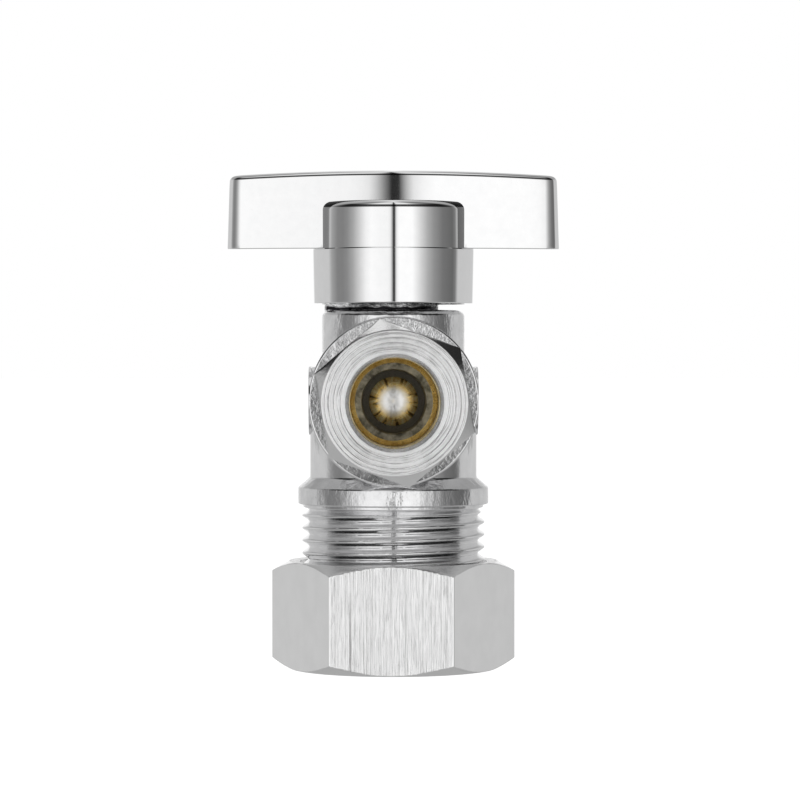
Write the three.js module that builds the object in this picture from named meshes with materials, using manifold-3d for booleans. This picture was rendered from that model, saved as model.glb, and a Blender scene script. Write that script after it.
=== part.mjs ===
// Angle stop valve: a quarter-turn shut-off valve for a sink or toilet supply line.
// The pipe comes in from below through a compression nut, a ball turned by the oval handle
// on top opens or shuts the way, and the supply tube leaves to the front, along -Y.
// Millimetres, +Z up. The origin is on the inlet axis, in the plane of the inlet nut's lower face.
// The valve is modelled shut: the handle lies across the outlet.

import * as THREE from "three";
import { mergeVertices } from "three/addons/utils/BufferGeometryUtils.js";
import Module from "manifold-3d";

const wasm = await Module();
wasm.setup();

// ---------------------------------------------------------------- driving dimensions

const SEGMENTS = 24; // facets round a turned surface; a thread takes the same steps
const FLANK = Math.tan(Math.PI / 6); // 60 degree threads lean 30 degrees each way

// lead is how far from the threaded end a crest first passes the +X side.
const INLET_THREAD = { radius: 10.34, depth: 0.74, pitch: 1.411, crest: 0.2, lead: 0.74 }; // 13/16-18
const OUTLET_THREAD = { radius: 7.1, depth: 0.6, pitch: 1.058, crest: 0.15, lead: 0.5 }; // 9/16-24

const INLET_TUBE = 15.88; // 5/8 in outside diameter, half-inch nominal copper pipe
const OUTLET_TUBE = 9.53; // 3/8 in outside diameter, the supply tube

const OUTLET_HEIGHT = 30.2; // the outlet axis, and the ball's centre

const BODY = {
  inletEnd: 6.65,
  threadTop: 17.95,
  collarBottom: 18.55,
  collarTop: 20.45,
  collarRadius: 10.78,
  shoulder: 21.6,
  lowerRadius: 9.45,
  lowerTop: 34.15,
  upperRadius: 8.05,
  top: 40.4,
  edge: 0.8, // rounding of the upper edge
  neckRadius: 5.1,
  neckTop: 43.45,
};

// face and end are distances from the valve's axis; the boss is cut flat on both sides.
const OUTLET_BOSS = { radius: 9.45, halfWidth: 9.22, face: 10.4, end: 18.0 };
const SIDE_PAD = { radius: 3.9, reach: 9.55, rim: 0.7, recess: 0.08 };

const CAVITY = { radius: 6.1, bottom: 16.85, top: 37.55 };
const STEM_BORE = 3.25;
const BALL = { radius: 5.4, port: 2.9, slotWidth: 2.3, slotFloor: 33.85 };
const STEM = {
  radius: 3.1,
  tongue: 2.0,
  tongueTip: 34.1,
  flangeRadius: 4.6,
  flangeBottom: 36.15,
  flangeTop: 36.95,
  squareBottom: 43.85,
  square: 4.4,
  top: 50.45,
};
const STEM_GROOVES = [39.15, 41.65]; // heights of the two O-rings
const GROOVE = { floor: 2.2, width: 1.3 };

const INLET_NUT = { flats: 23.81, length: 12.15, faceRadius: 11.8, holeDepth: 2.05 };
const OUTLET_NUT = { flats: 15.88, back: 10.9, front: 22.0, faceRadius: 7.8, holeDepth: 1.6 };
const HEX_CHAMFER = Math.tan(Math.PI / 6);
const INLET_NUT_TURN = THREE.MathUtils.degToRad(-1.5); // where each nut came to rest
const OUTLET_NUT_TURN = THREE.MathUtils.degToRad(10);

const HANDLE = {
  bottom: 41.15,
  parting: 47.25, // the casting narrows upwards and downwards from here
  hubTop: 52.55,
  hubRadius: 9.12,
  skirtRadius: 9.0,
  ledge: 0.06, // step round the hub at the parting line
  hubEdge: 0.9,
  halfLength: 18.71,
  halfWidth: 4.85,
  faceRadius: 75, // the long faces of the wing bulge gently
  endRadius: 2.1,
  top: 56.0,
  crown: 0.5, // how much lower the wing's top is at its ends
  draft: 0.25,
  edge: 0.5,
  cavityRadius: 8.1,
  cavityTop: 45.65,
};

// The lug on the body and the rib in the handle let it turn 90 degrees.
const STOP = { lugHalfAngle: 14, inner: 5.4, outer: 7.85, lugTop: 43.15, ribBottom: 41.85, gap: 0.7 };

// ---------------------------------------------------------------- tools for solids

// A closed geometry as a solid that can be joined and cut.
function solid(geometry) {
  const bare = geometry.index ? geometry.toNonIndexed() : geometry.clone();
  bare.deleteAttribute("normal");
  bare.deleteAttribute("uv");
  const merged = mergeVertices(bare, 1e-4);
  return new wasm.Manifold(
    new wasm.Mesh({
      numProp: 3,
      vertProperties: merged.attributes.position.array,
      triVerts: new Uint32Array(merged.index.array),
    }),
  );
}

// The solid's surface as a geometry with flat faces.
function surface(shape) {
  const mesh = shape.getMesh();
  const geometry = new THREE.BufferGeometry()
    .setAttribute("position", new THREE.BufferAttribute(mesh.vertProperties, 3))
    .setIndex(new THREE.BufferAttribute(mesh.triVerts, 1))
    .toNonIndexed();
  geometry.computeVertexNormals();
  return geometry;
}

// A body turned about +Z from [radius, height] points that run up the outside.
function turned(profile) {
  const points = profile.map(([radius, height]) => new THREE.Vector2(radius, height));
  return new THREE.LatheGeometry(points, SEGMENTS).rotateX(Math.PI / 2);
}

// A turned ring: its profile is closed on itself.
function ring(profile) {
  return turned([...profile, profile[0]]);
}

function rod(radius, bottom, top) {
  return turned([[0, bottom], [radius, bottom], [radius, top], [0, top]]);
}

function box(width, depth, bottom, top) {
  return new THREE.BoxGeometry(width, depth, top - bottom).translate(0, 0, (bottom + top) / 2);
}

// Things built along +Z are laid along the outlet axis, which points to -Y.
function toOutlet(geometry) {
  return geometry.rotateX(Math.PI / 2).translate(0, 0, OUTLET_HEIGHT);
}

// A flat piece of a ring between two angles, in degrees.
function sector(inner, outer, from, to, bottom, top) {
  const a = THREE.MathUtils.degToRad(from);
  const b = THREE.MathUtils.degToRad(to);
  const shape = new THREE.Shape();
  shape.absarc(0, 0, outer, a, b, false);
  shape.absarc(0, 0, inner, b, a, true);
  const steps = Math.max(2, Math.round((to - from) / (360 / SEGMENTS)));
  return new THREE.ExtrudeGeometry(shape, {
    depth: top - bottom,
    bevelEnabled: false,
    curveSegments: steps,
  }).translate(0, 0, bottom);
}

// The ridge of a right-hand thread as one closed sweep, sunk into the rod that it stands on.
// rootRadius is where its flanks start; runOut lets both ends fade into the rod.
function helicalRidge({ crestRadius, rootRadius, crest, pitch, from, to, runOut }) {
  const sink = 0.3;
  const halfCrest = crest / 2;
  const halfBase = halfCrest + (crestRadius - rootRadius) * FLANK;
  const steps = Math.round(((to - from) / pitch) * SEGMENTS);
  const fade = SEGMENTS / 3;
  const position = [];
  for (let i = 0; i <= steps; i++) {
    const angle = (i / SEGMENTS) * 2 * Math.PI;
    const height = from + (i / SEGMENTS) * pitch;
    const grown = runOut ? Math.min(1, i / fade, (steps - i) / fade) : 1;
    const tip = rootRadius - sink / 2 + (crestRadius - rootRadius + sink / 2) * grown;
    const section = [
      [rootRadius - sink, -halfBase],
      [Math.min(rootRadius, tip), -halfBase],
      [tip, -halfCrest],
      [tip, halfCrest],
      [Math.min(rootRadius, tip), halfBase],
      [rootRadius - sink, halfBase],
    ];
    for (const [radius, offset] of section)
      position.push(radius * Math.cos(angle), radius * Math.sin(angle), height + offset);
  }
  const corners = 6;
  const index = [];
  for (let i = 0; i < steps; i++)
    for (let j = 0; j < corners; j++) {
      const a = i * corners + j;
      const b = i * corners + ((j + 1) % corners);
      index.push(a, a + corners, b, b, a + corners, b + corners);
    }
  const last = steps * corners;
  for (let j = 1; j < corners - 1; j++) {
    index.push(0, j, j + 1);
    index.push(last, last + j + 1, last + j);
  }
  return new THREE.BufferGeometry()
    .setAttribute("position", new THREE.Float32BufferAttribute(position, 3))
    .setIndex(index);
}

// The ridge that makes an outside thread on a rod of the thread's root radius.
function outsideThread(thread, from, to) {
  return helicalRidge({
    crestRadius: thread.radius,
    rootRadius: thread.radius - thread.depth,
    crest: thread.crest,
    pitch: thread.pitch,
    from,
    to,
    runOut: true,
  });
}

const THREAD_PLAY = { radial: 0.2, axial: 0.1 }; // room between a nut and the thread it turns on

function insideThreadBore(thread) {
  return thread.radius - thread.depth + THREAD_PLAY.radial + 0.05;
}

// The groove that cuts an inside thread into a nut, in step with the outside thread.
function insideThreadGroove(thread, from, to) {
  return helicalRidge({
    crestRadius: thread.radius + THREAD_PLAY.radial,
    rootRadius: insideThreadBore(thread),
    crest: thread.crest + 2 * THREAD_PLAY.axial,
    pitch: thread.pitch,
    from,
    to,
    runOut: false,
  });
}

// A hexagonal blank with both ends chamfered to a round face; one corner points along turn.
function hexBlank(flats, faceRadius, bottom, top, turn) {
  const corner = flats / Math.sqrt(3);
  const hexagon = new THREE.CylinderGeometry(corner, corner, top - bottom, 6)
    .rotateX(Math.PI / 2)
    .rotateZ(turn + Math.PI / 2)
    .translate(0, 0, (bottom + top) / 2);
  const reach = corner + 0.2;
  const drop = (reach - faceRadius) * HEX_CHAMFER;
  const trim = turned([
    [0, bottom],
    [faceRadius, bottom],
    [reach, bottom + drop],
    [reach, top - drop],
    [faceRadius, top],
    [0, top],
  ]);
  return solid(hexagon).intersect(solid(trim));
}

// ---------------------------------------------------------------- materials

const chrome = new THREE.MeshStandardMaterial({ color: 0xd6d7da, roughness: 0.12, metalness: 1 });
const satinChrome = new THREE.MeshStandardMaterial({ color: 0xcfd0d2, roughness: 0.3, metalness: 1 });
const brass = new THREE.MeshStandardMaterial({ color: 0xc9a04a, roughness: 0.3, metalness: 1 });
const steel = new THREE.MeshStandardMaterial({ color: 0xb9bbbd, roughness: 0.3, metalness: 1 });
const fluoropolymer = new THREE.MeshStandardMaterial({ color: 0x5a5750, roughness: 0.6, metalness: 0 });
const rubber = new THREE.MeshStandardMaterial({ color: 0x1b1b1c, roughness: 0.8, metalness: 0 });

function piece(name, geometry, material) {
  const mesh = new THREE.Mesh(geometry, material);
  mesh.name = name;
  return mesh;
}

// ---------------------------------------------------------------- valve body

const INLET_SOCKET = INLET_TUBE / 2 + 0.1;
const OUTLET_SOCKET = OUTLET_TUBE / 2 + 0.08;
const SEAT_POCKET = { radius: 4.4, floor: 8.1, rearFloor: 7.6 };
const OUTLET_PASSAGE = { radius: 3.55, shoulder: 9.6, shoulderRadius: 4.3, tubeStop: 9.95 };

function bodyOutside() {
  const root = INLET_THREAD.radius - INLET_THREAD.depth;
  const vertical = turned([
    [0, BODY.inletEnd],
    [root - 0.25, BODY.inletEnd],
    [root, BODY.inletEnd + 0.4],
    [root, BODY.threadTop],
    [INLET_THREAD.radius - 0.1, BODY.threadTop + 0.25],
    [INLET_THREAD.radius - 0.1, BODY.collarBottom],
    [BODY.collarRadius, BODY.collarBottom],
    [BODY.collarRadius, BODY.collarTop],
    [BODY.lowerRadius, BODY.shoulder],
    [BODY.lowerRadius, BODY.lowerTop - 0.2],
    [BODY.lowerRadius - 0.3, BODY.lowerTop],
    [BODY.upperRadius, BODY.lowerTop + 0.3],
    [BODY.upperRadius, BODY.top - BODY.edge],
    [BODY.upperRadius - BODY.edge * 0.3, BODY.top - BODY.edge * 0.3],
    [BODY.upperRadius - BODY.edge, BODY.top],
    [BODY.neckRadius, BODY.top],
    [BODY.neckRadius, BODY.neckTop],
    [0, BODY.neckTop],
  ]);
  const outletRoot = OUTLET_THREAD.radius - OUTLET_THREAD.depth;
  const boss = turned([
    [0, 0],
    [OUTLET_BOSS.radius, 0],
    [OUTLET_BOSS.radius, OUTLET_BOSS.face - 0.4],
    [OUTLET_BOSS.radius - 0.4, OUTLET_BOSS.face],
    [outletRoot, OUTLET_BOSS.face],
    [outletRoot, OUTLET_BOSS.end - 0.4],
    [outletRoot - 0.2, OUTLET_BOSS.end],
    [0, OUTLET_BOSS.end],
  ]);
  const lug = sector(
    STOP.inner - 0.5,
    STOP.outer,
    180 - STOP.lugHalfAngle,
    180 + STOP.lugHalfAngle,
    BODY.top - 1,
    STOP.lugTop,
  );
  const { face, end, halfWidth } = OUTLET_BOSS;
  const sides = box(2 * halfWidth, 2 * end + 2, OUTLET_HEIGHT - 12, OUTLET_HEIGHT + 12);
  const inletThread = outsideThread(INLET_THREAD, BODY.inletEnd + INLET_THREAD.lead, BODY.threadTop);
  const outletThread = outsideThread(OUTLET_THREAD, face + OUTLET_THREAD.lead, end - 0.5);
  return solid(vertical)
    .add(solid(toOutlet(boss)).intersect(solid(sides)))
    .add(solid(lug))
    .add(solid(inletThread))
    .add(solid(toOutlet(outletThread)));
}

// The round pads cast on both sides: a flat disc with a raised rim.
function sidePads() {
  const { radius, reach, rim, recess } = SIDE_PAD;
  const disc = turned([
    [0, 0],
    [radius, 0],
    [radius, reach - recess],
    [radius - recess, reach],
    [radius - rim, reach],
    [radius - rim, reach - recess],
    [0, reach - recess],
  ]);
  const right = disc.clone().rotateY(Math.PI / 2).translate(0, 0, OUTLET_HEIGHT);
  const left = disc.clone().rotateY(-Math.PI / 2).translate(0, 0, OUTLET_HEIGHT);
  return solid(right).add(solid(left));
}

function bodyInside() {
  const mouth = INLET_SOCKET + 1.0;
  const vertical = turned([
    [0, BODY.inletEnd - 1],
    [mouth, BODY.inletEnd - 1],
    [mouth, BODY.inletEnd],
    [INLET_SOCKET, BODY.inletEnd + 2.4],
    [INLET_SOCKET, CAVITY.bottom],
    [CAVITY.radius, CAVITY.bottom],
    [CAVITY.radius, CAVITY.top],
    [STEM_BORE, CAVITY.top],
    [STEM_BORE, BODY.neckTop - 0.3],
    [STEM_BORE + 0.3, BODY.neckTop],
    [STEM_BORE + 0.3, BODY.neckTop + 1],
    [0, BODY.neckTop + 1],
  ]);
  const outletMouth = OUTLET_SOCKET + 1.0;
  const horizontal = turned([
    [0, 0],
    [SEAT_POCKET.radius, 0],
    [SEAT_POCKET.radius, SEAT_POCKET.floor],
    [OUTLET_PASSAGE.radius, SEAT_POCKET.floor],
    [OUTLET_PASSAGE.radius, OUTLET_PASSAGE.shoulder],
    [OUTLET_PASSAGE.shoulderRadius, OUTLET_PASSAGE.shoulder],
    [OUTLET_SOCKET, OUTLET_PASSAGE.tubeStop],
    [OUTLET_SOCKET, OUTLET_BOSS.end - 2.4],
    [outletMouth, OUTLET_BOSS.end],
    [outletMouth, OUTLET_BOSS.end + 1],
    [0, OUTLET_BOSS.end + 1],
  ]);
  const rearPocket = rod(SEAT_POCKET.radius, -SEAT_POCKET.rearFloor, 0);
  return solid(vertical).add(solid(toOutlet(horizontal))).add(solid(toOutlet(rearPocket)));
}

function valveBody() {
  return piece(
    "valve_body",
    surface(bodyOutside().add(sidePads()).subtract(bodyInside())),
    chrome,
  );
}

// ---------------------------------------------------------------- ball, seats and seals

// The ball's way turns a corner: up from below, then out at one side, which is -X when shut.
function ball() {
  const reach = BALL.radius + 1;
  const side = rod(BALL.port, 0, reach).rotateY(-Math.PI / 2);
  const slot = box(2 * reach, BALL.slotWidth, BALL.slotFloor - OUTLET_HEIGHT, reach);
  const shape = solid(new THREE.SphereGeometry(BALL.radius, SEGMENTS, 16).rotateX(Math.PI / 2))
    .subtract(solid(rod(BALL.port, -reach, 0)))
    .subtract(solid(side))
    .subtract(solid(slot));
  const mesh = piece("ball", surface(shape), chrome);
  mesh.position.z = OUTLET_HEIGHT;
  return mesh;
}

// A seat beside the ball, in a pocket whose floor lies this far from the valve's axis.
function sideSeat(name, pocketFloor) {
  const face = pocketFloor - 0.8;
  const profile = [
    [2.7, 4.85],
    [3.4, 4.35],
    [4.3, 4.35],
    [4.3, face],
    [2.7, face],
  ];
  return piece(name, ring(profile), fluoropolymer);
}

function rubberRing(name, radius, thickness, height) {
  const mesh = piece(name, new THREE.TorusGeometry(radius, thickness, 6, SEGMENTS), rubber);
  mesh.position.z = height;
  return mesh;
}

function sideSeatRing(name, pocketFloor) {
  return rubberRing(name, 3.96, 0.32, pocketFloor - 0.4);
}

const LOWER_SEAT = { bottom: 23.95, shoulder: 25.65, lipTop: 26.55, lipInside: 25.45 };

// The lower seat's lip stands inside the side seats and reaches the ball.
function lowerBallSeat() {
  const profile = [
    [3.0, LOWER_SEAT.bottom],
    [5.9, LOWER_SEAT.bottom],
    [5.9, LOWER_SEAT.shoulder],
    [4.2, LOWER_SEAT.shoulder],
    [4.2, LOWER_SEAT.lipTop],
    [3.0, LOWER_SEAT.lipInside],
  ];
  return piece("lower_ball_seat", ring(profile), fluoropolymer);
}

function lowerSeatRing() {
  return rubberRing("lower_seat_o_ring", 5.0, 0.5, LOWER_SEAT.bottom - 0.6);
}

const RETAINER = { bottom: 17.35, top: 22.75, bore: 3.8, groove: 20.85 };

// The bush pressed into the body from the inlet keeps the lower seat and the ball in.
function seatRetainer() {
  const { top, bottom, bore, groove } = RETAINER;
  const radius = CAVITY.radius - 0.1;
  const profile = [
    [bore, bottom],
    [radius - 0.4, bottom],
    [radius, bottom + 0.4],
    [radius, groove - 0.65],
    [radius - 0.9, groove - 0.65],
    [radius - 0.9, groove + 0.65],
    [radius, groove + 0.65],
    [radius, top],
    [bore, top],
  ];
  return piece("seat_retainer", ring(profile), brass);
}

function retainerRing() {
  return rubberRing("retainer_o_ring", CAVITY.radius - 0.54, 0.4, RETAINER.groove);
}

// ---------------------------------------------------------------- stem and handle

const SCREW = { headRadius: 3.1, headBottom: 52.85, headTop: 54.55, shank: 1.5, tip: 45.85 };
const SCREW_HOLE = { stem: 1.62, stemFloor: 45.05, handle: 2.1 };
const HANDLE_RECESS = { radius: 3.9, floor: 52.25 };

function stem() {
  const half = GROOVE.width / 2;
  const grooves = STEM_GROOVES.flatMap((height) => [
    [STEM.radius, height - half],
    [GROOVE.floor, height - half],
    [GROOVE.floor, height + half],
    [STEM.radius, height + half],
  ]);
  const shaft = turned([
    [0, STEM.flangeBottom],
    [STEM.flangeRadius, STEM.flangeBottom],
    [STEM.flangeRadius, STEM.flangeTop],
    [STEM.radius, STEM.flangeTop],
    ...grooves,
    [STEM.radius, STEM.squareBottom],
    [0, STEM.squareBottom],
  ]);
  const tongue = box(2 * STEM.radius, STEM.tongue, STEM.tongueTip, STEM.flangeBottom + 0.3);
  const square = box(STEM.square, STEM.square, STEM.squareBottom - 0.3, STEM.top);
  const shape = solid(shaft)
    .add(solid(tongue))
    .add(solid(square))
    .subtract(solid(rod(SCREW_HOLE.stem, SCREW_HOLE.stemFloor, STEM.top + 1)));
  return piece("stem", surface(shape), brass);
}

function stemRings() {
  return STEM_GROOVES.map((height, i) => {
    const name = i === 0 ? "stem_o_ring_lower" : "stem_o_ring_upper";
    return rubberRing(name, 2.72, 0.45, height);
  });
}

function thrustWasher() {
  const bottom = STEM.flangeTop + 0.1;
  const top = CAVITY.top - 0.1;
  const profile = [
    [3.4, bottom],
    [4.8, bottom],
    [4.8, top],
    [3.4, top],
  ];
  return piece("thrust_washer", ring(profile), fluoropolymer);
}

// Half of the wing's outline, from its left end round the front to its right end:
// a long shallow arc between two end arcs. inset draws it in all round.
function wingHalfOutline(inset) {
  const endRadius = HANDLE.endRadius - inset;
  const faceRadius = HANDLE.faceRadius - inset;
  const centreY = HANDLE.faceRadius - HANDLE.halfWidth; // centre of the front arc lies behind
  const endX = HANDLE.halfLength - HANDLE.endRadius;
  const meet = Math.asin(endX / (HANDLE.faceRadius - HANDLE.endRadius));
  const endY = centreY - (HANDLE.faceRadius - HANDLE.endRadius) * Math.cos(meet);
  const points = [];
  const endSteps = 4;
  const faceSteps = 12;
  const side = -Math.PI / 2; // straight to the front
  for (let i = 0; i <= endSteps; i++) {
    const angle = -Math.PI + (Math.PI / 2 - meet) * (i / endSteps);
    points.push([-endX + endRadius * Math.cos(angle), Math.min(0, endY) + endRadius * Math.sin(angle)]);
  }
  for (let i = 1; i < faceSteps; i++) {
    const angle = side - meet + 2 * meet * (i / faceSteps);
    points.push([faceRadius * Math.cos(angle), centreY + faceRadius * Math.sin(angle)]);
  }
  for (let i = 0; i <= endSteps; i++) {
    const angle = side + meet + (Math.PI / 2 - meet) * (i / endSteps);
    points.push([endX + endRadius * Math.cos(angle), Math.min(0, endY) + endRadius * Math.sin(angle)]);
  }
  return points;
}

function wingOutline(inset) {
  const front = wingHalfOutline(inset);
  const back = front.slice(1, -1).map(([x, y]) => [-x, -y]);
  return [...front, ...back];
}

// The wing is a stack of outlines that narrow with the draft; its top is crowned along X.
function wing() {
  const rise = (x) => HANDLE.top - HANDLE.crown * (x / HANDLE.halfLength) ** 2 - HANDLE.parting;
  const levels = [
    { share: 0, below: 0, inset: 0 },
    { share: 1, below: HANDLE.edge, inset: HANDLE.draft },
    { share: 1, below: HANDLE.edge * 0.3, inset: HANDLE.draft + HANDLE.edge * 0.3 },
    { share: 1, below: 0, inset: HANDLE.draft + HANDLE.edge },
  ];
  const position = [];
  for (const { share, below, inset } of levels)
    for (const [x, y] of wingOutline(inset))
      position.push(x, y, HANDLE.parting + share * rise(x) - below);
  const count = position.length / 3 / levels.length;
  const index = [];
  for (let level = 0; level < levels.length - 1; level++)
    for (let i = 0; i < count; i++) {
      const a = level * count + i;
      const b = level * count + ((i + 1) % count);
      index.push(a, b, a + count, b, b + count, a + count);
    }
  const topCentre = position.length / 3;
  position.push(0, 0, HANDLE.top, 0, 0, HANDLE.parting);
  const topStart = (levels.length - 1) * count;
  for (let i = 0; i < count; i++) {
    const next = (i + 1) % count;
    index.push(topCentre, topStart + i, topStart + next);
    index.push(topCentre + 1, next, i);
  }
  return new THREE.BufferGeometry()
    .setAttribute("position", new THREE.Float32BufferAttribute(position, 3))
    .setIndex(index);
}

function handle() {
  const { bottom, parting, hubTop, hubRadius, hubEdge, ledge, skirtRadius } = HANDLE;
  const topRadius = hubRadius - 0.12;
  const hub = turned([
    [0, bottom],
    [skirtRadius, bottom],
    [hubRadius, parting],
    [hubRadius - ledge, parting + ledge],
    [topRadius, hubTop - hubEdge],
    [topRadius - hubEdge * 0.3, hubTop - hubEdge * 0.3],
    [topRadius - hubEdge, hubTop],
    [0, hubTop],
  ]);
  const cavity = rod(HANDLE.cavityRadius, bottom - 1, HANDLE.cavityTop);
  const reach = 90 + STOP.lugHalfAngle + STOP.gap; // how far the lug gets from +Y and from -X
  const rib = sector(
    STOP.inner + 0.2,
    HANDLE.cavityRadius + 0.3,
    90 + reach,
    450 - STOP.lugHalfAngle - STOP.gap,
    STOP.ribBottom,
    HANDLE.cavityTop + 0.3,
  );
  const socket = STEM.square + 0.24;
  const shape = solid(hub)
    .add(solid(wing()))
    .subtract(solid(cavity))
    .add(solid(rib))
    .subtract(solid(box(socket, socket, HANDLE.cavityTop - 1, STEM.top + 0.5)))
    .subtract(solid(rod(SCREW_HOLE.handle, STEM.top, HANDLE_RECESS.floor + 1)))
    .subtract(solid(rod(HANDLE_RECESS.radius, HANDLE_RECESS.floor, HANDLE.top + 1)));
  return piece("handle", surface(shape), chrome);
}

function handleScrew() {
  const { headRadius, headBottom, headTop, shank, tip } = SCREW;
  const blank = turned([
    [0, tip],
    [shank - 0.4, tip],
    [shank, tip + 0.5],
    [shank, headBottom],
    [headRadius, headBottom],
    [headRadius, headTop - 0.8],
    [headRadius * 0.75, headTop - 0.2],
    [headRadius * 0.4, headTop],
    [0, headTop],
  ]);
  const recess = box(3.4, 0.8, headTop - 1.1, headTop + 1);
  const across = box(0.8, 3.4, headTop - 1.1, headTop + 1);
  const shape = solid(blank).subtract(solid(recess).add(solid(across)));
  return piece("handle_screw", surface(shape), steel);
}

function lockWasher() {
  const bottom = HANDLE_RECESS.floor + 0.05;
  const top = SCREW.headBottom - 0.05;
  const profile = [
    [1.9, bottom],
    [3.1, bottom],
    [3.1, top],
    [1.9, top],
  ];
  const split = new THREE.BoxGeometry(2, 0.4, 2).translate(2.6, 0, bottom).rotateZ(0.6);
  return piece("lock_washer", surface(solid(ring(profile)).subtract(solid(split))), steel);
}

// ---------------------------------------------------------------- compression joints

// The bore of a compression nut: a plain hole for the tube, a cone for the sleeve, the thread's
// bore and a lead-in at the open end. It is built from the nut's outer face upwards.
function nutBore(tubeHole, thread, holeDepth, face, open) {
  const bore = insideThreadBore(thread);
  const relief = thread.radius + THREAD_PLAY.radial + 0.1;
  const cone = tubeHole + 1.0;
  const start = face + holeDepth;
  return turned([
    [0, face - 1],
    [tubeHole + 0.4, face - 1],
    [tubeHole + 0.4, face],
    [tubeHole, face + 0.4],
    [tubeHole, start],
    [cone, start + 1.2],
    [relief, start + 1.2],
    [relief, start + 2.0],
    [bore, start + 2.4],
    [bore, open - 0.5],
    [relief - 0.1, open],
    [relief - 0.1, open + 1],
    [0, open + 1],
  ]);
}

function inletNut() {
  const { flats, length, faceRadius, holeDepth } = INLET_NUT;
  const bore = nutBore(INLET_TUBE / 2 + 0.15, INLET_THREAD, holeDepth, 0, length);
  // Whole turns below the body's own thread, so that the two are in step.
  const start = BODY.inletEnd + INLET_THREAD.lead - 2 * INLET_THREAD.pitch;
  const groove = insideThreadGroove(INLET_THREAD, start, length + INLET_THREAD.pitch);
  const shape = hexBlank(flats, faceRadius, 0, length, INLET_NUT_TURN)
    .subtract(solid(bore))
    .subtract(solid(groove));
  return piece("inlet_nut", surface(shape), satinChrome);
}

// A compression sleeve: a soft brass ring, bevelled at both ends.
function sleeve(name, tube, wall, bottom, length) {
  const inner = tube / 2 + 0.03;
  const outer = inner + wall;
  const bevel = wall * 0.7;
  const profile = [
    [inner, bottom],
    [outer - bevel, bottom],
    [outer, bottom + 1.2],
    [outer, bottom + length - 1.8],
    [outer - bevel, bottom + length],
    [inner, bottom + length],
  ];
  return piece(name, ring(profile), brass);
}

// The outlet nut faces away from the body, so its bore is turned end for end.
function outletNut() {
  const { flats, back, front, faceRadius, holeDepth } = OUTLET_NUT;
  const bore = nutBore(OUTLET_TUBE / 2 + 0.1, OUTLET_THREAD, holeDepth, -front, -back);
  bore.rotateY(Math.PI);
  const start = OUTLET_BOSS.face + OUTLET_THREAD.lead - 2 * OUTLET_THREAD.pitch;
  const groove = insideThreadGroove(OUTLET_THREAD, start, front - holeDepth - 1.7);
  const shape = hexBlank(flats, faceRadius, back, front, Math.PI / 6 + OUTLET_NUT_TURN)
    .subtract(solid(bore))
    .subtract(solid(groove));
  return piece("outlet_nut", surface(shape), satinChrome);
}

// ---------------------------------------------------------------- assembly

const valve = new THREE.Group();

// What turns with the handle, and the washer that it turns against.
const turning = new THREE.Group();
turning.add(handle(), handleScrew(), lockWasher(), stem(), ...stemRings(), thrustWasher(), ball());

// What lies along the outlet axis is built upright and laid to the front.
const outlet = new THREE.Group();
outlet.add(sideSeat("outlet_seat", SEAT_POCKET.floor));
outlet.add(sideSeatRing("outlet_seat_o_ring", SEAT_POCKET.floor));
outlet.add(sleeve("outlet_sleeve", OUTLET_TUBE, 0.85, 16.55, 3.5), outletNut());
outlet.rotation.x = Math.PI / 2;
outlet.position.z = OUTLET_HEIGHT;

// The seat behind the ball, laid to the back.
const rear = new THREE.Group();
rear.add(sideSeat("rear_seat", SEAT_POCKET.rearFloor));
rear.add(sideSeatRing("rear_seat_o_ring", SEAT_POCKET.rearFloor));
rear.rotation.x = -Math.PI / 2;
rear.position.z = OUTLET_HEIGHT;

const inlet = new THREE.Group();
inlet.add(lowerBallSeat(), lowerSeatRing(), seatRetainer(), retainerRing());
inlet.add(sleeve("inlet_sleeve", INLET_TUBE, 0.95, 2.35, 6.0), inletNut());

valve.add(valveBody(), turning, outlet, rear, inlet);

export default valve;
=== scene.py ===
"""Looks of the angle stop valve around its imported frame. Shapes are in millimetres, made in metres."""
import bpy
import bmesh
import math
from mathutils import Matrix, Vector


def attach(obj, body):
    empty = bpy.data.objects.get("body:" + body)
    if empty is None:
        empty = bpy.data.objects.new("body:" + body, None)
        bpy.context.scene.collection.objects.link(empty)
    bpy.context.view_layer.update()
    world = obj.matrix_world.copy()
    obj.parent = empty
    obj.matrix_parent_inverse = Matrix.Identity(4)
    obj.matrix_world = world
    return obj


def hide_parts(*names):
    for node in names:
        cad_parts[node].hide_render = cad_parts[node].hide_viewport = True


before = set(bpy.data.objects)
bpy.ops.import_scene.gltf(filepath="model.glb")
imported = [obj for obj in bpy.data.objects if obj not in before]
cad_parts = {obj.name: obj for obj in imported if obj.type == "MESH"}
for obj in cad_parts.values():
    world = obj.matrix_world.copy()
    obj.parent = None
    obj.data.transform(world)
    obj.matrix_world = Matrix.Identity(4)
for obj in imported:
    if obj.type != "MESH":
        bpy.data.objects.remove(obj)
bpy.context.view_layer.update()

MM = 0.001
AXIS_Z = 30.2  # height of the outlet's axis

# ------------------------------------------------------------------ camera

VIEW_DISTANCE = 372.0
VIEW_FROM = (-2.6, -VIEW_DISTANCE, AXIS_Z + 4.5)
VIEW_AT = (0.76, 0, AXIS_Z + 0.08)
cam_data = bpy.data.cameras.new("camera")
cam_data.lens = 147.9
cam_data.sensor_width = 36
cam_data.clip_start = 0.01
cam_data.clip_end = 20
camera = bpy.data.objects.new("camera", cam_data)
bpy.context.collection.objects.link(camera)
camera.location = Vector(VIEW_FROM) * MM
aim = Vector(VIEW_AT) * MM
camera.rotation_euler = (aim - camera.location).to_track_quat("-Z", "Y").to_euler()
bpy.context.scene.camera = camera

# ------------------------------------------------------------------ profiles


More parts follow.
